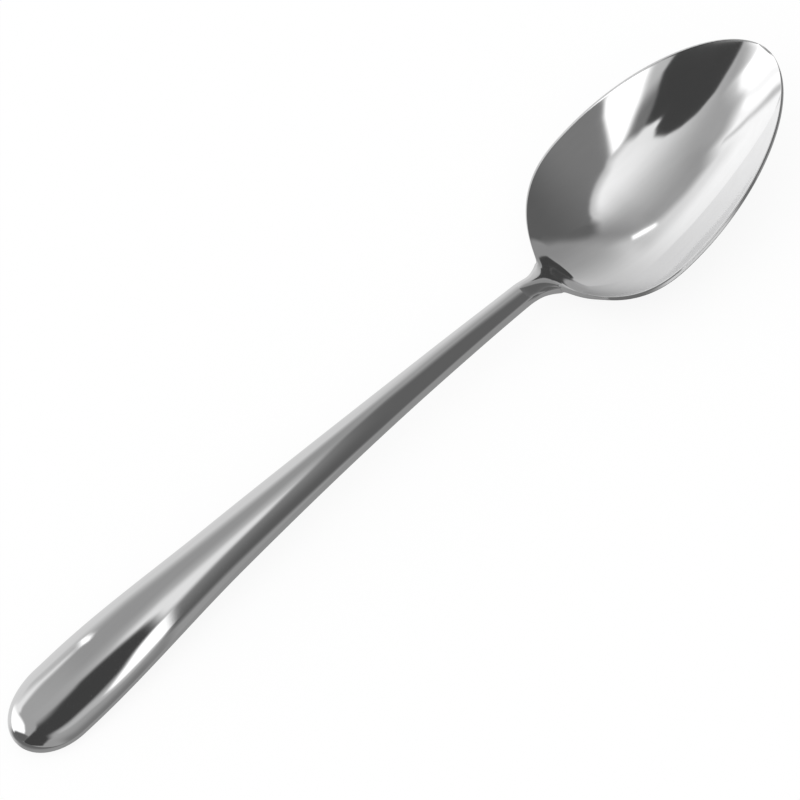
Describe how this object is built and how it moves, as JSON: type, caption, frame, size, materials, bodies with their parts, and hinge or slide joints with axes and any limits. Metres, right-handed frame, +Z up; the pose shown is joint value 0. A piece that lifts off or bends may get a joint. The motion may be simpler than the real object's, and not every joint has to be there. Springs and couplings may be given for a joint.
{
  "type": "dessert spoon",
  "caption": "Polished steel dessert spoon with an egg-shaped bowl, a slim neck and an arched handle that widens to a rounded end.",
  "frame": {"origin": "on the table under the middle of the spoon's outline box, with the spoon lying bowl up", "axes": "+X from the handle end to the tip of the bowl, +Z up out of the bowl, +Y to the left seen from the handle"},
  "size_m": [0.18, 0.0386, 0.0158],
  "materials": {
    "steel": "stainless steel, polished to a mirror, with fine polishing lines"
  },
  "bodies": {
    "root": {"handle_end": "steel", "grip": "steel", "stem": "steel", "neck": "steel", "bowl": "steel"}
  },
  "joints": []
}
